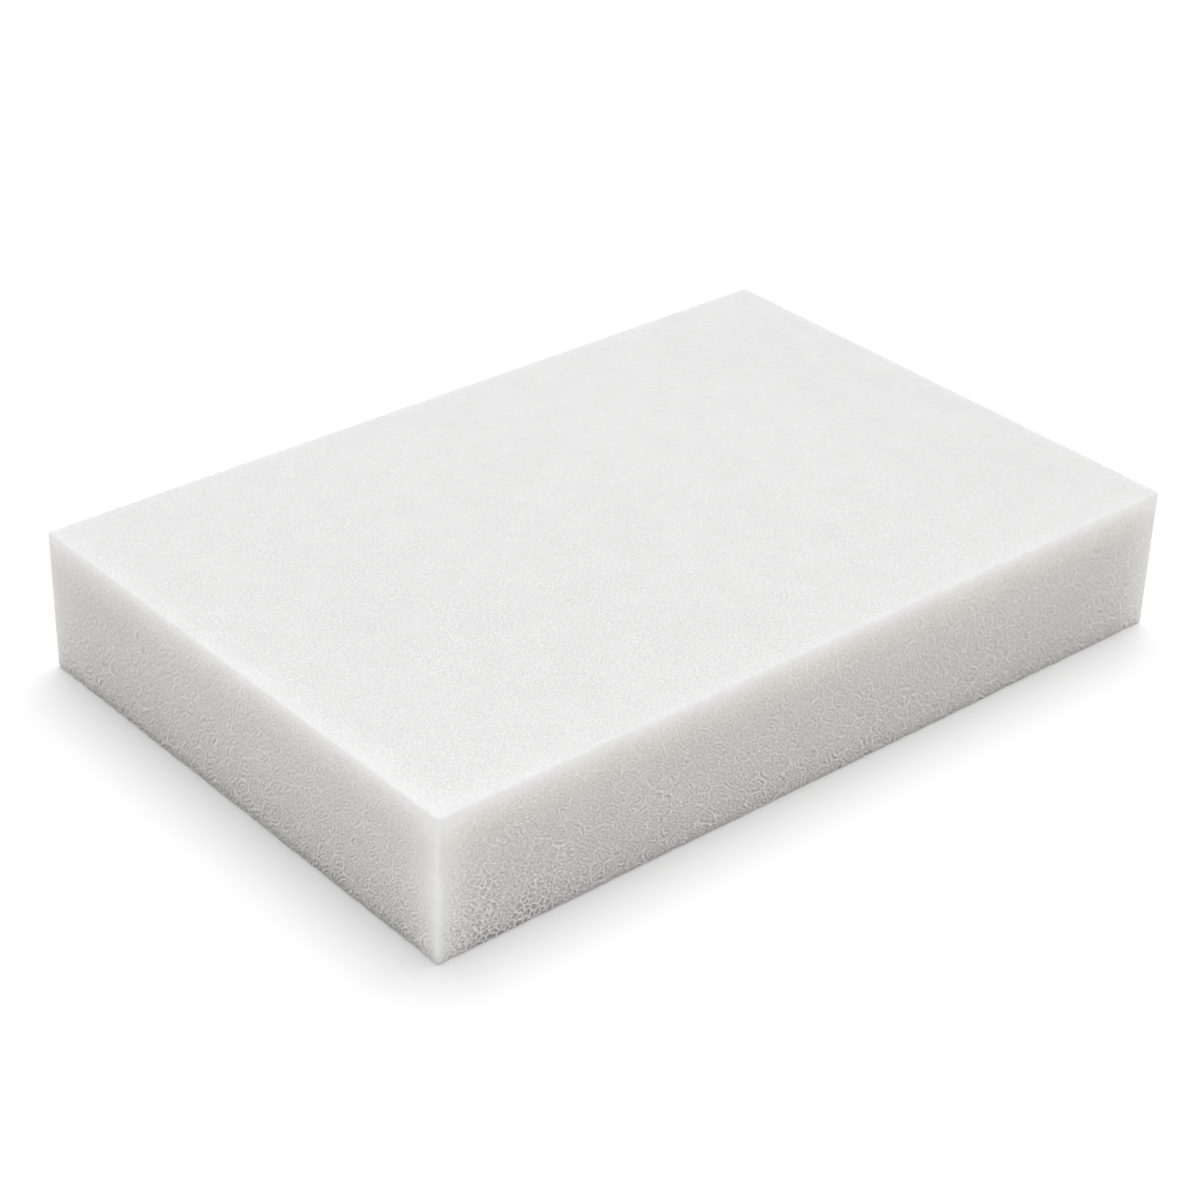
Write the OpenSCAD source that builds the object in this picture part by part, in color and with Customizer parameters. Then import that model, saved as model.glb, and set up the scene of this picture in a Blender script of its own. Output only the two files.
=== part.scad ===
// Foam sheet: a flat rectangular block of white cellular foam, cut square, with every edge lightly eased.
//
// Frame, in millimetres: the origin is the centre of the underside, +X runs along the length,
// +Y across the width and +Z up through the thickness.

/* [Sheet] */
// Length of the sheet, along X
sheet_length = 300; // [50:1:1200]
// Width of the sheet, along Y
sheet_width = 200; // [50:1:1200]
// Thickness of the sheet, along Z
sheet_thickness = 50; // [8:0.5:100]

/* [Cut edges] */
// Radius of the four upright corners, seen from above
corner_radius = 1.5; // [1.2:0.1:20]
// Radius of the edges that run round the top face and the underside
edge_radius = 0.8; // [0.3:0.1:1.1]

/* [Hidden] */
$fn = 48;
// Lengths of the straight runs between the upright corners
run_length = sheet_length - 2 * corner_radius;
run_width = sheet_width - 2 * corner_radius;

// Section through the sheet, standing on the X axis and centred on it, with its four corners rounded
module eased_section(width) {
    inset = edge_radius;
    translate([-width / 2, inset])
        square([width, sheet_thickness - 2 * inset]);
    translate([inset - width / 2, 0])
        square([width - 2 * inset, sheet_thickness]);
    for (x = [inset - width / 2, width / 2 - inset], y = [inset, sheet_thickness - inset])
        translate([x, y])
            circle(r = edge_radius);
}

// Stretch between the end corners: the cross-section run along X
module long_run() {
    rotate([90, 0, 90])
        linear_extrude(height = run_length, center = true)
            eased_section(sheet_width);
}

// Stretch between the side corners: the lengthwise section run along Y
module cross_run() {
    rotate([90, 0, 0])
        linear_extrude(height = run_width, center = true)
            eased_section(sheet_length);
}

// Quarter-round upright corner that carries the eased edges round from one side to the next
module upright_corner() {
    rotate_extrude(angle = 90)
        intersection() {
            eased_section(2 * corner_radius);
            square([corner_radius, sheet_thickness]);
        }
}

module upright_corners() {
    for (quarter = [0:3]) {
        long_side = quarter % 2 == 0;
        along = (long_side ? run_length : run_width) / 2;
        across = (long_side ? run_width : run_length) / 2;
        rotate([0, 0, 90 * quarter])
            translate([along, across, 0])
                upright_corner();
    }
}

module foam_sheet() {
    color([0.93, 0.93, 0.92])
        union() {
            long_run();
            cross_run();
            upright_corners();
        }
}

foam_sheet();
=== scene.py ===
"""Looks of the foam sheet: a block of white cellular foam on a white floor.

The piece is one closed mesh with eased edges. Its cut sides have a shallow relief of opened cells, and its
top and underside a much fainter one. The mesh carries the tone of each point, how strong the pattern is there
and where the cells are looked up, and one material draws the cells from that. The tone is painted brighter
along the edges, a painted glow for the light that comes through the foam, and painted darker along the floor
as painted shade. Lengths in the script are metres, and the distances that the tone and the pattern work with
are millimetres.
"""
import math

import bpy
import numpy as np
from mathutils import Matrix, Vector


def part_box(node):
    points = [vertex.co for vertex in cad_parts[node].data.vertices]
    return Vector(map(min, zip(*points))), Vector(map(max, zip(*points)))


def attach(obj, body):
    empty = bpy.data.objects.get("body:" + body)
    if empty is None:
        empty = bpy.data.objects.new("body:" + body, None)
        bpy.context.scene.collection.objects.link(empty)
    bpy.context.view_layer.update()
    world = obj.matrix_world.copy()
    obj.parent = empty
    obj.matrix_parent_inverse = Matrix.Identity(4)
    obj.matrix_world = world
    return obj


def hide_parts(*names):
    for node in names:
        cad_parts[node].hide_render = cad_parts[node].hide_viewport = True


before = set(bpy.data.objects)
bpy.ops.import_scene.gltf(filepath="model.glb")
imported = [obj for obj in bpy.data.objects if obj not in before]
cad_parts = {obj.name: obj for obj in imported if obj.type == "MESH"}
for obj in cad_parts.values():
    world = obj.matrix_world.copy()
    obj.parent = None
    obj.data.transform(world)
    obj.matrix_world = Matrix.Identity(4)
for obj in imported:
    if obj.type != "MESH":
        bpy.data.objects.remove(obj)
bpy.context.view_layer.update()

MM = 0.001
LOW, HIGH = (np.array(corner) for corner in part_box("foam_sheet"))
SIZE = HIGH - LOW
CENTRE = Vector((LOW + HIGH) / 2)


# ---- camera -----------------------------------------------------------------------------------------

# Azimuths run from the front round to the right, and elevations up from the floor, all in degrees
CAMERA_AZIMUTH, CAMERA_ELEVATION, CAMERA_ROLL = -41.46, 30.86, 1.78
CAMERA_DISTANCE = 0.9495
SLIDE_RIGHT, SLIDE_UP = -0.0044, -0.0070
LENS = 87.5


def direction(azimuth, elevation):
    """The unit vector from the sheet towards what stands at that azimuth and elevation."""
    a, e = math.radians(azimuth), math.radians(elevation)
    return Vector((math.sin(a) * math.cos(e), -math.cos(a) * math.cos(e), math.sin(e)))


def make_camera():
    """A long lens from the front left and above, rolled a little."""
    back = direction(CAMERA_AZIMUTH, CAMERA_ELEVATION)
    roll = math.radians(CAMERA_ROLL)
    level = Vector((0, 0, 1)).cross(back).normalized()
    upright = back.cross(level)
    right = level * math.cos(roll) + upright * math.sin(roll)
    up = upright * math.cos(roll) - level * math.sin(roll)
    data = bpy.data.cameras.new("camera")
    data.lens = LENS
    data.clip_start = 0.05
    data.clip_end = 20
    camera = bpy.data.objects.new("camera", data)
    place = CENTRE + back * CAMERA_DISTANCE + right * SLIDE_RIGHT + up * SLIDE_UP
    camera.matrix_world = Matrix.Translation(place) @ Matrix((right, up, back)).transposed().to_4x4()
    bpy.context.scene.collection.objects.link(camera)
    bpy.context.scene.camera = camera


# ---- mesh -------------------------------------------------------------------------------------------

# The upright corners and the edges of the flats, as on the solid
CORNER_RADIUS = 1.5 * MM
EDGE_RADIUS = 0.8 * MM

# The length of a face on the sides, how many of those one face of the top and of the underside spans, and
# how many faces a rounding has
FACE_LENGTH = 0.82 * MM
TOP_SPAN = 3
UNDERSIDE_SPAN = 6
ROUND_FACES = 3


def straight_faces(length):
    """How many faces run along a straight side, a whole number for the top and underside too."""
    step = math.lcm(TOP_SPAN, UNDERSIDE_SPAN)
    return step * max(1, round((length - 2 * CORNER_RADIUS) / FACE_LENGTH / step))


FACES_X = straight_faces(SIZE[0])
FACES_Y = straight_faces(SIZE[1])
FACES_Z = round((SIZE[2] - 2 * EDGE_RADIUS) / FACE_LENGTH)


def outline():
    """Centre, outward direction and run for each point of the outline, anticlockwise from the back corner.

    A point is centre + direction * radius. Along a straight side the centre moves and the direction stays.
    The run is the length of outline before the point.
    """
    half = np.array([SIZE[0] / 2 - CORNER_RADIUS, SIZE[1] / 2 - CORNER_RADIUS])
    corners = [np.array(signs) * half for signs in ((1, 1), (-1, 1), (-1, -1), (1, -1))]
    centres, directions, runs = [], [], []
    run = 0.0
    for side in range(4):
        start, end = corners[side], corners[(side + 1) % 4]
        count = FACES_X if side % 2 == 0 else FACES_Y
        facing = math.radians(90 + 90 * side)
        length = np.linalg.norm(end - start)
        for i in range(count):
            centres.append(start + (end - start) * i / count)
            directions.append((math.cos(facing), math.sin(facing)))
            runs.append(run + length * i / count)
        run += length
        quarter = math.radians(90)
        for i in range(ROUND_FACES):
            turn = facing + quarter * i / ROUND_FACES
            centres.append(end)
            directions.append((math.cos(turn), math.sin(turn)))
            runs.append(run + CORNER_RADIUS * quarter * i / ROUND_FACES)
        run += CORNER_RADIUS * quarter
    return np.array(centres), np.array(directions), np.array(runs), run


def ring_profile():
    """(inset, height, slope) of each ring of points, from the underside up to the top.

    The slope is -90 degrees on the underside, 0 on the side and 90 degrees on the top.
    """
    top, quarter = SIZE[2], math.radians(90)
    profile = []
    for i in range(ROUND_FACES):
        slope = quarter * (1 - i / ROUND_FACES)
        inset = EDGE_RADIUS * (1 - math.cos(slope))
        height = EDGE_RADIUS * (1 - math.sin(slope))
        profile.append((inset, height, -slope))
    for i in range(FACES_Z + 1):
        profile.append((0.0, EDGE_RADIUS + (top - 2 * EDGE_RADIUS) * i / FACES_Z, 0.0))
    for i in range(1, ROUND_FACES + 1):
        slope = quarter * i / ROUND_FACES
        inset = EDGE_RADIUS * (1 - math.cos(slope))
        depth = EDGE_RADIUS * (1 - math.sin(slope))
        profile.append((inset, top - depth, slope))
    return profile


class Block:
    """The sheet's points, each with its outward normal and its run round the outline, and its faces."""

    def __init__(self):
        self.points, self.normals, self.runs = [], [], []
        self.faces, self.islands = [], []
        self.centres, self.directions, self.outline_runs, self.outline_length = outline()
        low_rim, high_rim = self.add_sides()
        self.side_points = len(self.points)
        self.add_flat(high_rim, HIGH[2], TOP_SPAN, 1)
        self.add_flat(low_rim, LOW[2], UNDERSIDE_SPAN, -1)
        self.points, self.normals, self.runs = (np.array(v) for v in (self.points, self.normals, self.runs))

    def add(self, points, normals, runs):
        first = len(self.points)
        self.points.extend(points)
        self.normals.extend(normals)
        self.runs.extend(runs)
        return list(range(first, len(self.points)))

    def add_face(self, corners, island):
        self.faces.append(tuple(corners))
        self.islands.append(island)

    def add_sides(self):
        """Adds the sides, with their corners and eased edges. Returns the lowest and the highest ring."""
        rings = []
        for inset, height, slope in ring_profile():
            flat = self.centres + self.directions * (CORNER_RADIUS - inset)
            points = np.column_stack([flat, np.full(len(flat), LOW[2] + height)])
            sideways = self.directions * math.cos(slope)
            normals = np.column_stack([sideways, np.full(len(flat), math.sin(slope))])
            rings.append(self.add(points, normals, self.outline_runs))
        count = len(self.centres)
        per_pair = FACES_X + FACES_Y + 2 * ROUND_FACES
        for below, above in zip(rings, rings[1:]):
            for i in range(count):
                j = (i + 1) % count
                side = 2 * (i // per_pair) + (i % per_pair >= FACES_X + ROUND_FACES)
                self.add_face((below[i], below[j], above[j], above[i]), f"side_{side}")
        return rings[0], rings[-1]

    def add_flat(self, rim, height, span, facing):
        """Adds a flat inside a rim: a grid of faces that each span several of the rim's, and a border."""
        nx, ny = FACES_X // span, FACES_Y // span
        half_x, half_y = SIZE[0] / 2 - CORNER_RADIUS, SIZE[1] / 2 - CORNER_RADIUS
        # The grid starts at the back corner, as the outline does
        xs, ys = np.linspace(half_x, -half_x, nx + 1), np.linspace(half_y, -half_y, ny + 1)
        grid_x, grid_y = np.meshgrid(xs, ys, indexing="ij")
        points = np.column_stack([grid_x.ravel(), grid_y.ravel(), np.full(grid_x.size, height)])
        normals = np.tile((0.0, 0.0, float(facing)), (len(points), 1))
        ids = np.array(self.add(points, normals, np.zeros(len(points)))).reshape(nx + 1, ny + 1)
        faces = []
        for i in range(nx):
            for j in range(ny):
                faces.append((ids[i, j], ids[i + 1, j], ids[i + 1, j + 1], ids[i, j + 1]))
        reached = 0
        for border in (ids[:, 0], ids[-1, :], ids[::-1, -1], ids[0, ::-1]):
            for start, end in zip(border, border[1:]):
                outer = [rim[(reached + k) % len(rim)] for k in range(span + 1)]
                faces.append((*outer, end, start))
                reached += span
            for _ in range(ROUND_FACES):
                faces.append((rim[reached % len(rim)], rim[(reached + 1) % len(rim)], border[-1]))
                reached += 1
        island = "top" if facing > 0 else "underside"
        for face in faces:
            self.add_face(face if facing > 0 else reversed(face), island)


# ---- noise ------------------------------------------------------------------------------------------


def scramble(ix, iy, iz, salt):
    """A number from 0 to 1 for each lattice point, the same in every run."""
    h = (
        ix.astype(np.uint64) * np.uint64(73856093)
        ^ iy.astype(np.uint64) * np.uint64(19349663)
        ^ iz.astype(np.uint64) * np.uint64(83492791)
        ^ np.uint64(salt * 2654435761)
    )
    h = (h ^ (h >> np.uint64(33))) * np.uint64(0xFF51AFD7ED558CCD)
    h = (h ^ (h >> np.uint64(33))) * np.uint64(0xC4CEB9FE1A85EC53)
    h = h ^ (h >> np.uint64(33))
    return (h >> np.uint64(11)).astype(float) / float(1 << 53)


def smooth_noise(points, size, salt):
    """Smooth noise from -1 to 1 whose bumps are about that size. Each salt gives another noise."""
    p = points / size + 1000.0
    base = np.floor(p).astype(np.int64)
    f = p - base
    f = f * f * (3 - 2 * f)
    total = np.zeros(len(p))
    for dx in (0, 1):
        for dy in (0, 1):
            for dz in (0, 1):
                weight = (
                    (f[:, 0] if dx else 1 - f[:, 0])
                    * (f[:, 1] if dy else 1 - f[:, 1])
                    * (f[:, 2] if dz else 1 - f[:, 2])
                )
                total += weight * scramble(base[:, 0] + dx, base[:, 1] + dy, base[:, 2] + dz, salt)
    return 2 * total - 1


def smoothstep(low, high, value):
    """0 up to low and 1 from high on, with a smooth rise between."""
    t = np.clip((value - low) / (high - low), 0, 1)
    return t * t * (3 - 2 * t)


# ---- what the mesh tells the material ---------------------------------------------------------------

# Lengths from here to the nodes are in millimetres. The tone is the share of the light that comes back. What
# has two numbers is an amount at an edge and how far it reaches from there. What has three is the amount in
# the middle of a band, where that middle lies, and how far the band reaches to either side.
# The sides' tone is lower than the top's: painted shade of their opened cells
SIDE_TONE = 0.65
BRIGHTEST = 0.95
# Painted glow below the top edges and along the upright edges, where light comes through the foam
TOP_EDGE_GLOW = 0.19, 4.0
DEEP_GLOW = 0.155, 14.0
TOP_EDGE_BAND = 0.04, 6.0, 6.0
UPRIGHT_GLOW = 0.2, 8.0
UPRIGHT_LINE = 0.08, 1.2
# Painted shade in a thin line beside each upright edge's painted glow, near the top
UPRIGHT_SHADE_BAND = 0.035, 1.7, 0.9
# Painted glow by the right end's upright edge, and on the front side by the front corner
RIGHT_END_GLOW = 0.04, 7.0, 5.0
FRONT_CORNER_GLOW = 0.045, 6.0, 4.0
# On the left side: painted light by the front corner and in the middle, and painted shade along the floor
LEFT_CORNER_GLOW = 0.08, 0.0, 13.0
LEFT_MIDDLE_GLOW = 0.02, 24.0, 12.0
LEFT_FLOOR_PAINTED_SHADE = 0.065, 2.0, 1.6
# Painted shade along the floor, with a darker painted shadow line where the sides meet it
FLOOR_SHADE = 0.09, 3.0
FLOOR_SHADOW_LINE = 0.16, 0.7

# The top's tone, with painted light along its rim and towards the front left corner, and painted shade
# towards the right end
TOP_TONE = 0.775
TOP_RIM_GLOW = 0.012, 4.0
TOP_LEFT_BAND = 0.032, 2.0, 8.0
TOP_FRONT_GLOW = 0.02, 16.0
TOP_CORNER_GLOW = 0.034, 50.0
TOP_RIGHT_SHADE = 0.01

# The tone also wanders, by these shares of it, in bumps of these sizes
WANDERS = (0.013, 11.0), (0.015, 5.5)

# How warm the sides are, how much less on the left one, and a warmer band below the top edges
WARMTH, LEFT_COOLER, LEAST_WARMTH = 0.044, 0.012, 0.003
WARM_BAND = 0.034, 9.0, 10.0

# How strong the pattern is on the sides, and how much is added to that along the floor
SIDE_GAIN, LOW_GAIN = 0.75, 0.9

# How strong it is on the top, and how much is added to that at the front left corner
TOP_GAIN, CORNER_GAIN = 0.02, 0.22

# How far the coarser pattern reaches from the front left edge, and up from the floor
NEAR_REACH = 45.0
LOW_REACH = 16.0


def fade(distance, amount, reach):
    """The amount at no distance, falling to 0.37 of it at the reach."""
    return amount * np.exp(-distance / reach)


def band(value, amount, middle, reach):
    """The amount in the middle, falling to 0.37 of it at the reach to either side."""
    return amount * np.exp(-(((value - middle) / reach) ** 2))


def rise(distance, reach):
    """0 at no distance, rising to 0.63 at the reach and to 1 far away."""
    return 1 - np.exp(-distance / reach)


def add_attribute(mesh, name, values, domain="POINT"):
    """Stores one number or three for each point or face corner."""
    values = np.asarray(values, dtype=np.float32)
    kind, field = ("FLOAT", "value") if values.ndim == 1 else ("FLOAT_VECTOR", "vector")
    mesh.attributes.new(name, kind, domain).data.foreach_set(field, values.ravel())


class Whereabouts:
    """Where each point of the block lies, in millimetres, and what it belongs to, from 0 to 1.

    left, front and right are the ways from those sides, above is the way up from the floor, and below the
    way down from the top. inward is the way from the nearest side. For a point on a side, along is the way to
    the nearest upright edge. away is the way from the front left upright edge.

    side is 1 on the sides and 0 on the top and underside. on_left is 1 on the left side. near is 1 at the
    front left upright edge and falls with the way from it. far is 1 at the far end of the front side, and 0.6
    at that of the left side.
    """

    def __init__(self, block):
        points, normals = block.points, block.normals
        self.points = points
        self.left, self.front, self.above = ((points - LOW) / MM).T
        self.right = SIZE[0] / MM - self.left
        self.below = (HIGH[2] - points[:, 2]) / MM
        # On a side, the least of the ways to the four side planes is 0, and the next is to an upright edge
        to_planes = np.column_stack([HIGH[:2] - points[:, :2], points[:, :2] - LOW[:2]]) / MM
        to_planes.sort(axis=1)
        self.inward, self.along = to_planes[:, 0], to_planes[:, 1]
        self.away = np.hypot(self.left, self.front)
        self.side = 1 - smoothstep(0.0, 0.9, np.abs(normals[:, 2]))
        self.side[block.side_points:] = 0
        self.on_left = smoothstep(0.3, 0.9, -normals[:, 0])
        self.near = np.exp(-self.away / NEAR_REACH)
        self.far = smoothstep(120, 280, self.left) * (normals[:, 1] < -0.7)
        self.far += 0.6 * smoothstep(60, 150, self.front) * (normals[:, 0] < -0.7)

    def noise(self, size, salt):
        """Smooth noise at each point, with bumps of that many millimetres."""
        return smooth_noise(self.points, size * MM, salt)


def side_tone(at):
    """Painted light and shade: a painted glow where light comes through along the top and the upright edges,
    and painted shade along the floor, where hardly any comes through.
    """
    tone = SIDE_TONE + fade(at.below, *TOP_EDGE_GLOW) + fade(at.below, *DEEP_GLOW)
    tone += band(at.below, *TOP_EDGE_BAND)
    # The upright edges' painted glow is the least at the top, and there a thin line of painted shade runs
    # beside the bright one
    upright = fade(at.along, *UPRIGHT_GLOW) + fade(at.along, *UPRIGHT_LINE)
    tone += upright * (0.35 + 0.65 * smoothstep(0.0, 26.0, at.below))
    tone -= band(at.along, *UPRIGHT_SHADE_BAND) * (1 - smoothstep(10.0, 24.0, at.below))
    # Painted glow by the right end's upright edge
    tone += band(at.right, *RIGHT_END_GLOW)
    # Painted shade and a painted shadow line along the floor
    tone -= fade(at.above, *FLOOR_SHADE) + fade(at.above, *FLOOR_SHADOW_LINE)
    # The left side is painted brightest next to the front corner, as painted light, and darkest along the
    # floor, as painted shade
    corner = band(at.front, *LEFT_CORNER_GLOW) * (1 - fade(at.below, 0.6, 13.0))
    tone += at.on_left * (corner + band(at.below, *LEFT_MIDDLE_GLOW) - band(at.above, *LEFT_FLOOR_PAINTED_SHADE))
    # Painted glow on the front side by the front corner
    tone += (1 - at.on_left) * band(at.left, *FRONT_CORNER_GLOW)
    return np.minimum(tone, BRIGHTEST)


def top_tone(at):
    """Painted light: a little brighter along the rim and towards the front left corner, and painted shade
    towards the right end.
    """
    tone = TOP_TONE + fade(at.inward, *TOP_RIM_GLOW) + band(at.left, *TOP_LEFT_BAND)
    tone += fade(at.front, *TOP_FRONT_GLOW) + fade(at.left + 0.6 * at.front, *TOP_CORNER_GLOW)
    return tone - TOP_RIGHT_SHADE * smoothstep(230.0, 270.0, at.left)


def add_tone(mesh, at):
    """tone: the colour without the pattern, with painted glow and painted shade, a little warm on the sides
    and most so below their top edges.
    """
    tone = side_tone(at) * at.side + top_tone(at) * (1 - at.side)
    tone *= 1 + sum(share * at.noise(size, 80 + i) for i, (share, size) in enumerate(WANDERS))
    warmth = at.side * (WARMTH - LEFT_COOLER * at.on_left + band(at.below, *WARM_BAND))
    warmth *= rise(at.below, 2.0) * rise(at.along, 2.5)
    warmth += LEAST_WARMTH
    # Warmth takes blue away, and about a third as much green
    add_attribute(mesh, "tone", np.column_stack([tone, tone * (1 - 0.35 * warmth), tone * (1 - warmth)]))


def side_gain(at):
    """How strong the pattern is on the sides: it fades out towards the edges, and grows towards the floor."""
    fade_length = (7.0 + 4.5 * at.on_left) * (0.5 + 0.9 * smoothstep(0.0, 45.0, at.above))
    from_end = (np.maximum(at.along, 0.0) / fade_length) ** 1.5
    gain = rise(at.below, 8.0) * rise(from_end, 1.0)
    gain *= SIDE_GAIN + fade(at.above, LOW_GAIN, LOW_REACH)
    return gain * smoothstep(-0.3, 0.9, at.above)


def top_gain(at):
    """How strong the pattern is on the top: much fainter, and patchy, and fading towards the far corner."""
    gain = TOP_GAIN + CORNER_GAIN * (1 - smoothstep(120.0, 420.0, at.left + 1.1 * at.front))
    gain *= 1 - fade(at.inward, 0.6, 4.0)
    patchiness = 0.3 + 0.3 * smoothstep(60, 200, at.left + at.front)
    return gain * np.exp(patchiness * at.noise(6, 71))


def net_share(at):
    """Where the net shows: in patches low on the sides, and most on the front side near its left end."""
    patches = 0.5 + 0.5 * at.noise(22, 70)
    height = 0.7 + band(at.above, 0.3, 19.0, 9.0)
    score = 0.45 * patches + 0.8 * at.near * height + fade(at.above, 0.2, LOW_REACH)
    share = at.side * smoothstep(0.42, 0.85, score) * smoothstep(-0.6, 0.3, at.noise(7, 72))
    share *= (1 - 0.7 * at.on_left) * (0.3 + 0.7 * smoothstep(4.0, 20.0, at.along))
    return share * smoothstep(4.0, 24.0, at.below)


def add_strengths(mesh, at):
    """strength: how strong the lines, the grain and the net are. walls: how strong the wide cells' walls are.

    Lines and walls are weaker where the net is, and lines, walls and grain are towards the far ends.
    """
    gain = side_gain(at) * at.side + top_gain(at) * (1 - at.side)
    net = net_share(at)
    lines = gain * (1 - 0.55 * net) * (1 - 0.24 * at.far) * (1 + 0.08 * at.on_left)
    grain = gain * ((0.64 + 0.32 * at.near) * at.side + 1.4 * (1 - at.side)) * (1 - 0.5 * at.far)
    add_attribute(mesh, "strength", np.column_stack([lines, grain, gain * net]))
    walls = gain * (0.2 + 0.8 * smoothstep(-0.5, 0.5, at.noise(6, 75)))
    walls *= (0.5 + 0.3 * at.side) * (1 - 0.7 * net) * (1 - 0.5 * at.far)
    add_attribute(mesh, "walls", walls)


class Corners:
    """The corners of the faces: each one's point, the flat or side that it is on, and its place there.

    Places are in millimetres, round and up the sides, and along and across the flats.
    """

    def __init__(self, block):
        self.points = np.array([p for face in block.faces for p in face])
        counts = [len(face) for face in block.faces]
        self.islands = np.repeat(np.array(block.islands), counts)
        self.flat = np.isin(self.islands, ("top", "underside"))
        runs = block.runs[self.points]
        # The last side ends where the outline's first point is
        wrapped = (self.islands == "side_3") & (runs < block.outline_length / 2)
        runs = np.where(wrapped, runs + block.outline_length, runs)
        x, y, z = ((block.points[self.points] - LOW) / MM).T
        self.along = np.where(self.flat, x, runs / MM)
        self.across = np.where(self.flat, y, z)


# How far slow noise and finer noise bend the lines, and the size of each
SLOW_BEND, SLOW_SIZE = 0.8, 4.0
FINE_BEND, FINE_SIZE = 0.25, 2.0

# Degrees by which the lines are turned on the long sides, and on the ends and the flats
LONG_TURN = 48.0
OTHER_TURN = 136.0

# How firmly lines keep to their lean and don't bend round the cells, and how much firmer they are far off on
# the flats
LONG_FIRMNESS, END_FIRMNESS = 0.5, 1.6
FLAT_FIRMNESS, FLAT_FIRMER = 0.5, 0.8

# From line to line, and how much wider that is far from the front left edge, and on the flats
LINE_SPACING, FAR_WIDER, FLAT_WIDER = 1.3, 0.5, 0.15

# How many times as long as wide the pattern is drawn, along the lines
STRETCH = 1.6


def add_places(mesh, at, corners):
    """place: where the cells are looked up. It is bent, turned across the lines and pressed along them.

    lean: how firmly the lines inside a cell keep to their lean, and how many there are in a millimetre.
    """
    bends = []
    for salt in (40, 50):
        bend = SLOW_BEND * at.noise(SLOW_SIZE, salt) + FINE_BEND * at.side * at.noise(FINE_SIZE, salt + 1)
        bends.append(bend[corners.points])
    along, across = corners.along + bends[0], corners.across + bends[1]
    # Lines lean one way on one pair of sides and the other way on the other
    ends = np.isin(corners.islands, ("side_1", "side_3"))
    turn = np.radians(np.where(corners.flat | ends, OTHER_TURN, LONG_TURN))
    crossing = along * np.cos(turn) + across * np.sin(turn)
    following = across * np.cos(turn) - along * np.sin(turn)
    nought = np.zeros(len(corners.points))
    add_attribute(mesh, "place", np.column_stack([crossing, following / STRETCH, nought]), "CORNER")
    away, near = at.away[corners.points], at.near[corners.points]
    firmness = np.where(ends, END_FIRMNESS, LONG_FIRMNESS) * (1 - 0.6 * near)
    flat_firmness = FLAT_FIRMNESS + FLAT_FIRMER * smoothstep(100.0, 300.0, away)
    firmness = np.where(corners.flat, flat_firmness, firmness)
    # The lines draw apart sooner on the ends, which are shorter
    apart = smoothstep(np.where(ends, 20, 80), np.where(ends, 190, 290), away)
    spacing = LINE_SPACING + FAR_WIDER * apart
    spacing[corners.flat] += FLAT_WIDER
    add_attribute(mesh, "lean", np.column_stack([firmness, 1 / spacing, nought]), "CORNER")


def add_bake_map(mesh, corners):
    """A map with the flats and sides next to each other, all at one scale but for a smaller underside."""
    length_x, length_y, height = SIZE / MM
    gap, small = 3.0, 1 / 3
    rows = length_y + gap
    places = {
        "top": (0, 0),
        "side_0": (0, rows),
        "side_2": (0, rows + height + gap),
        "side_1": (0, rows + 2 * (height + gap)),
        "underside": (length_y + gap, rows + 2 * (height + gap)),
        "side_3": (length_x + gap, 0),
    }
    width = rows + 2 * (height + gap) + length_y * small + gap
    spots = np.zeros((len(corners.points), 2))
    for island, place in places.items():
        chosen = corners.islands == island
        spot = np.column_stack([corners.along, corners.across])[chosen]
        spot[:, 0] -= spot[:, 0].min()
        if island == "underside":
            spot *= small
        if island == "side_3":
            spot = spot[:, ::-1]
        spots[chosen] = (spot + place) / width
    mesh.uv_layers.new(name="OFBake").uv.foreach_set("vector", spots.astype(np.float32).ravel())


# How deep the surface dips at most, the size of the dips, and from how high above the floor it dips in full
DIP, DIP_SIZE, DIP_START = 0.15, 26, 3.0

# How far the sides tuck in along the floor, by how much that varies, and how far up it reaches
TUCK, TUCK_CHANGE, TUCK_REACH = 0.35, 0.25, 1.2


def unevenness(block, at):
    """How far each point stands off the true block, whose surface dips a little and tucks in at the floor."""
    sunk = DIP * (0.5 + 0.5 * at.noise(DIP_SIZE, 60))
    sunk *= np.where(block.normals[:, 2] > 0.7, 1, smoothstep(0.0, DIP_START, at.above))
    tucked = fade(at.above, TUCK + TUCK_CHANGE * at.noise(9, 61), TUCK_REACH)
    tucked[block.side_points:] = 0
    outward = np.zeros(block.points.shape)
    rings = block.side_points // len(block.directions)
    outward[:block.side_points, :2] = np.tile(block.directions, (rings, 1))
    return (block.normals * sunk[:, None] + outward * tucked[:, None]) * -MM


def make_mesh(name):
    block = Block()
    at = Whereabouts(block)
    corners = Corners(block)
    mesh = bpy.data.meshes.new(name)
    mesh.from_pydata((block.points + unevenness(block, at)).tolist(), [], block.faces)
    add_tone(mesh, at)
    add_strengths(mesh, at)
    add_places(mesh, at, corners)
    add_bake_map(mesh, corners)
    mesh.polygons.foreach_set("use_smooth", [True] * len(mesh.polygons))
    return mesh


# ---- nodes ------------------------------------------------------------------------------------------


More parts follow.
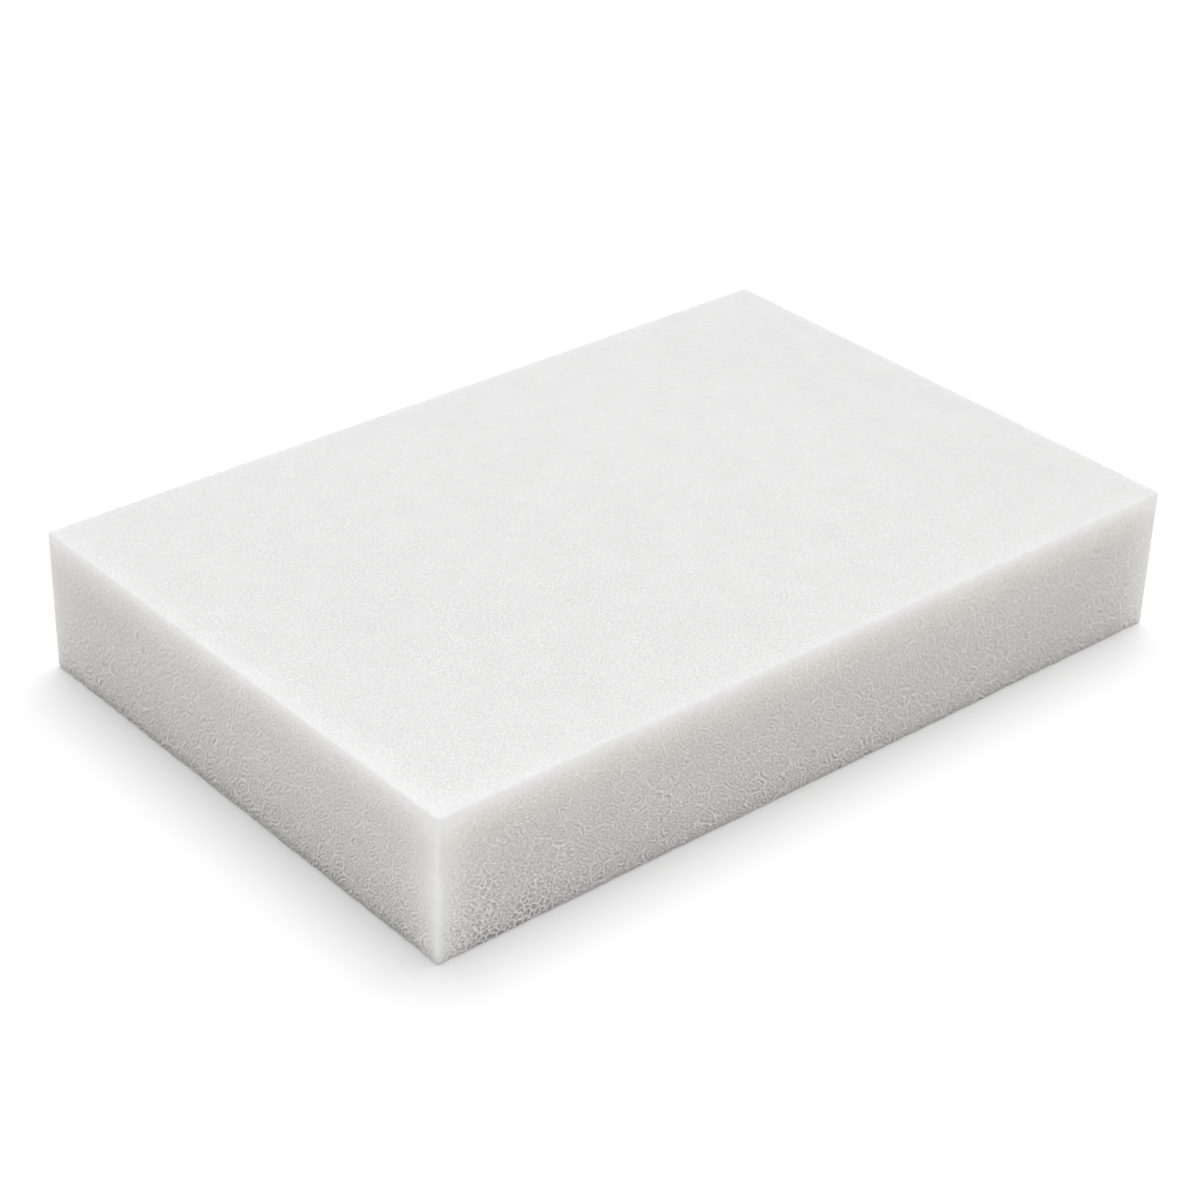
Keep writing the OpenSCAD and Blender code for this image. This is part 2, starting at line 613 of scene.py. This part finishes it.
class Nodes:
    """Adds nodes to a tree. Most methods return the new node's output."""

    def __init__(self, tree):
        self.tree = tree
        tree.nodes.clear()

    def new(self, kind, inputs=(), **settings):
        made = self.tree.nodes.new(kind)
        for name, value in settings.items():
            setattr(made, name, value)
        for name, value in dict(inputs).items():
            self.put(made.inputs[name], value)
        return made

    def put(self, socket, value):
        if isinstance(value, bpy.types.NodeSocket):
            self.tree.links.new(value, socket)
        else:
            socket.default_value = value

    def attribute(self, name, kind="FLOAT_VECTOR"):
        """A vector or a number from the mesh, in a material or in geometry nodes."""
        if self.tree.bl_idname == "ShaderNodeTree":
            made = self.new("ShaderNodeAttribute", attribute_name=name)
            return made.outputs["Vector" if kind == "FLOAT_VECTOR" else "Fac"]
        made = self.new("GeometryNodeInputNamedAttribute", {"Name": name}, data_type=kind)
        return made.outputs["Attribute"]

    def math(self, operation, a, b=0.0, c=0.0):
        return self.new("ShaderNodeMath", {0: a, 1: b, 2: c}, operation=operation).outputs[0]

    def sum(self, *values):
        total = values[0]
        for value in values[1:]:
            total = self.math("ADD", total, value)
        return total

    def times(self, *values):
        total = values[0]
        for value in values[1:]:
            total = self.math("MULTIPLY", total, value)
        return total

    def vector(self, operation, a, b=(0, 0, 0), scale=None):
        inputs = {0: a, 1: b}
        if scale is not None:
            inputs["Scale"] = scale
        return self.new("ShaderNodeVectorMath", inputs, operation=operation).outputs[0]

    def split(self, vector):
        return self.new("ShaderNodeSeparateXYZ", {0: vector}).outputs

    def ramp(self, value, low, high, start=0.0, end=1.0, smooth=True):
        return self.new(
            "ShaderNodeMapRange",
            {"Value": value, "From Min": low, "From Max": high, "To Min": start, "To Max": end},
            interpolation_type="SMOOTHSTEP" if smooth else "LINEAR",
        ).outputs[0]

    def noise(self, where, size):
        """Noise from 0 to 1 across a plane, with bumps of about that size."""
        return self.new(
            "ShaderNodeTexNoise",
            {"Vector": where, "Scale": 1 / size, "Detail": 0.0},
            noise_dimensions="2D",
        ).outputs[0]

    def cells(self, where, size, feature):
        """Cells of about that size, across a plane."""
        return self.new(
            "ShaderNodeTexVoronoi",
            {"Vector": where, "Scale": 1 / size, "Randomness": 0.9},
            feature=feature,
            voronoi_dimensions="2D",
        ).outputs

    def waves(self, where, reach, closeness, angle):
        """Broken wavy lines from -1 to 1, across a plane, each patch of them about that reach across.

        The closeness is the number of lines in a unit of length. The angle is that of the way across them.
        """
        frequency = self.math("MULTIPLY", closeness, reach)
        made = self.new(
            "ShaderNodeTexGabor",
            {"Vector": where, "Scale": 1 / reach, "Frequency": frequency, "Anisotropy": 1.0},
            gabor_type="2D",
        )
        turns = [socket for socket in made.inputs if socket.name == "Orientation" and socket.type == "VALUE"]
        self.put(turns[0], angle)
        return self.math("MULTIPLY_ADD", made.outputs["Value"], 2.0, -1.0)

    def seen(self):
        """1 for what the camera sees, by way of gloss or glass too, and 0 for all other light."""
        path = self.new("ShaderNodeLightPath").outputs
        plain = self.math("MAXIMUM", path["Is Camera Ray"], path["Is Glossy Ray"])
        return self.math("MAXIMUM", plain, path["Is Transmission Ray"])


# ---- pattern ----------------------------------------------------------------------------------------

# Sizes in millimetres, across the lines. Along them everything but the net and the mottle is drawn out.
WIDE_CELL = 4.2
NET_CELL = 2.3
WALL_WAVE = 1.4
LINE_REACH = 2.6
GRAIN_SIZE = 0.6
MOTTLE_SIZE = 2.6

# How much of the tone each adds or takes away where its strength is 1
LINES, WALLS, GRAIN, NET = 0.37, 0.16, 0.12, 0.27
MOTTLE = 0.026


def pattern(n):
    """The cut cells, about 0 on average: all that is drawn, and the part of it that is also raised.

    Walls stand round the wide cells. Inside them, lines lean one way and bend round near the walls. The net
    is made of smaller, darker cells. The grain is fine, with brighter specks. A faint mottle covers it all.
    """
    place = n.attribute("place")
    strength = n.split(n.attribute("strength"))
    firmness, closeness = n.split(n.attribute("lean"))[:2]
    x, y = n.split(n.vector("SUBTRACT", place, n.cells(place, WIDE_CELL, "F1")["Position"]))[:2]
    # Twice the angle of the way from the cell's centre, so that opposite ways are alike, drawn to the lean
    double_x = n.sum(n.times(x, x), n.times(y, y, -1.0), firmness)
    double_y = n.times(x, y, 2.0)
    angle = n.math("MULTIPLY", n.math("ARCTAN2", double_y, double_x), 0.5)
    lines = n.waves(place, LINE_REACH, closeness, angle)
    to_wall = n.math("MULTIPLY", n.cells(place, WIDE_CELL, "DISTANCE_TO_EDGE")["Distance"], WIDE_CELL)
    # A wall is a ripple that falls to 0.37 a millimetre away from it
    ripple = n.math("COSINE", n.math("MULTIPLY", to_wall, 2 * math.pi / WALL_WAVE))
    walls = n.times(ripple, n.math("POWER", math.exp(-1.0), to_wall))
    # The noise is 0.5 on average, and the 0.05 makes up for the specks, which stand where it is high
    fine = n.noise(place, GRAIN_SIZE)
    specks = n.ramp(fine, 0.68, 0.8, 0.0, 1.6)
    grain = n.sum(n.math("MULTIPLY_ADD", fine, 4.0, -2.05), specks)
    round_place = n.vector("MULTIPLY", place, (1.0, STRETCH, 1.0))
    to_net = n.math("MULTIPLY", n.cells(round_place, NET_CELL, "DISTANCE_TO_EDGE")["Distance"], NET_CELL)
    net = n.ramp(to_net, 0.05, 0.6, 1.0, -0.8)
    raised = n.sum(
        n.times(walls, n.attribute("walls", "FLOAT"), WALLS),
        n.times(grain, strength[1], GRAIN),
        n.times(net, strength[2], NET),
    )
    mottle = n.math("MULTIPLY_ADD", n.noise(round_place, MOTTLE_SIZE), 2 * MOTTLE, -MOTTLE)
    return n.sum(raised, n.times(lines, strength[0], LINES), mottle), raised


# ---- relief -----------------------------------------------------------------------------------------

# How deep a wide cell's middle is sunk where the lines' strength is 1. It is level to the first way from the
# middle, and comes up to the surface at the second, both in millimetres.
HOLLOW_DEPTH = 0.28 * MM
HOLLOW_FLOOR, HOLLOW_RIM = 0.4, 2.4


def sink_cells(piece):
    """Sinks the cells between the walls, by geometry nodes that are applied to the mesh."""
    tree = bpy.data.node_groups.new("cells", "GeometryNodeTree")
    tree.interface.new_socket("Geometry", in_out="INPUT", socket_type="NodeSocketGeometry")
    tree.interface.new_socket("Geometry", in_out="OUTPUT", socket_type="NodeSocketGeometry")
    n = Nodes(tree)
    start = n.new("NodeGroupInput").outputs[0]
    from_centre = n.math("MULTIPLY", n.cells(n.attribute("place"), WIDE_CELL, "F1")["Distance"], WIDE_CELL)
    hollow = n.ramp(from_centre, HOLLOW_FLOOR, HOLLOW_RIM, 1.0, 0.0)
    depth = n.times(hollow, n.split(n.attribute("strength"))[0], HOLLOW_DEPTH)
    offset = n.vector("SCALE", n.new("GeometryNodeInputNormal").outputs[0], scale=n.times(depth, -1.0))
    end = n.new("GeometryNodeSetPosition", {"Geometry": start, "Offset": offset}).outputs[0]
    n.new("NodeGroupOutput", {0: end})
    modifier = piece.modifiers.new("cells", "NODES")
    modifier.node_group = tree
    shaped = bpy.data.meshes.new_from_object(piece.evaluated_get(bpy.context.evaluated_depsgraph_get()))
    piece.modifiers.clear()
    piece.data = shaped
    bpy.data.node_groups.remove(tree)


# ---- material ---------------------------------------------------------------------------------------


def foam_material():
    material = bpy.data.materials.new("white_foam")
    material.use_nodes = True
    n = Nodes(material.node_tree)
    cells, raised = pattern(n)
    # The tone brings its painted glow and painted shade into the base colour
    colour = n.vector("SCALE", n.attribute("tone"), scale=n.math("ADD", cells, 1.0))
    bump = n.new("ShaderNodeBump", {"Height": raised, "Strength": 0.5, "Distance": 1.0 * MM}).outputs[0]
    # The hollows are duller than the walls
    roughness = n.ramp(cells, -0.2, 0.2, 0.92, 0.78, smooth=False)
    shader = n.new(
        "ShaderNodeBsdfPrincipled",
        {
            "Base Color": colour,
            "Roughness": roughness,
            "Normal": bump,
            "Subsurface Weight": 0.5,
            "Subsurface Radius": (1.0, 1.0, 1.0),
            "Subsurface Scale": 4 * MM,
            "Specular IOR Level": 0.3,
        },
    )
    n.new("ShaderNodeOutputMaterial", {"Surface": shader.outputs[0]})
    return material


# ---- floor and light --------------------------------------------------------------------------------

# Levels are what a white surface that faces the light shows. Widths, azimuths and elevations are in degrees.
SKY_LEVEL = 0.5
KEY_AZIMUTH, KEY_ELEVATION, KEY_WIDTH, KEY_LEVEL = 128, 72.5, 46, 0.53
FILL_AZIMUTH, FILL_ELEVATION, FILL_WIDTH, FILL_LEVEL = -41.5, 8, 60, 0.14
FLOOR_TONE = 0.889, 0.889, 0.895
FLOOR_LIFT = 0.14


def floor_material():
    """White to the camera where nothing shades it. The lift that makes it so lights nothing else."""
    material = bpy.data.materials.new("white_floor")
    material.use_nodes = True
    n = Nodes(material.node_tree)
    seen = n.seen()
    surface = n.new("ShaderNodeBsdfDiffuse", {"Color": (*FLOOR_TONE, 1)}).outputs[0]
    strength = n.math("MULTIPLY", seen, FLOOR_LIFT)
    lift = n.new("ShaderNodeEmission", {"Color": (1, 1, 1, 1), "Strength": strength}).outputs[0]
    both = n.new("ShaderNodeAddShader", {0: surface, 1: lift}).outputs[0]
    n.new("ShaderNodeOutputMaterial", {"Surface": both})
    return material


def make_floor():
    reach = 4.0
    corners = [(-reach, -reach, 0), (reach, -reach, 0), (reach, reach, 0), (-reach, reach, 0)]
    mesh = bpy.data.meshes.new("floor")
    mesh.from_pydata(corners, [], [(0, 1, 2, 3)])
    mesh.materials.append(floor_material())
    floor = bpy.data.objects.new("floor", mesh)
    bpy.context.scene.collection.objects.link(floor)


def make_world():
    """A pale sky all round, which the camera sees as white."""
    world = bpy.data.worlds.new("studio")
    bpy.context.scene.world = world
    world.use_nodes = True
    n = Nodes(world.node_tree)
    strength = n.math("MULTIPLY_ADD", n.seen(), 1 - SKY_LEVEL, SKY_LEVEL)
    surface = n.new("ShaderNodeBackground", {"Color": (1, 1, 1, 1), "Strength": strength}).outputs[0]
    n.new("ShaderNodeOutputWorld", {"Surface": surface})


def make_sun(name, azimuth, elevation, width, level):
    """A broad soft light from far away. Azimuth and elevation say where it stands, as the camera's do."""
    data = bpy.data.lights.new(name, "SUN")
    data.energy = level * math.pi
    data.angle = math.radians(width)
    sun = bpy.data.objects.new(name, data)
    sun.matrix_world = direction(azimuth, elevation).to_track_quat("Z", "Y").to_matrix().to_4x4()
    bpy.context.scene.collection.objects.link(sun)


make_camera()
make_world()
make_floor()
make_sun("key", KEY_AZIMUTH, KEY_ELEVATION, KEY_WIDTH, KEY_LEVEL)
make_sun("fill", FILL_AZIMUTH, FILL_ELEVATION, FILL_WIDTH, FILL_LEVEL)

sheet = bpy.data.objects.new("foam_block", make_mesh("foam_block"))
sheet.data.materials.append(foam_material())
bpy.context.scene.collection.objects.link(sheet)
sink_cells(sheet)
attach(sheet, "root")
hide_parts("foam_sheet")

bpy.context.scene.view_settings.view_transform = "Standard"
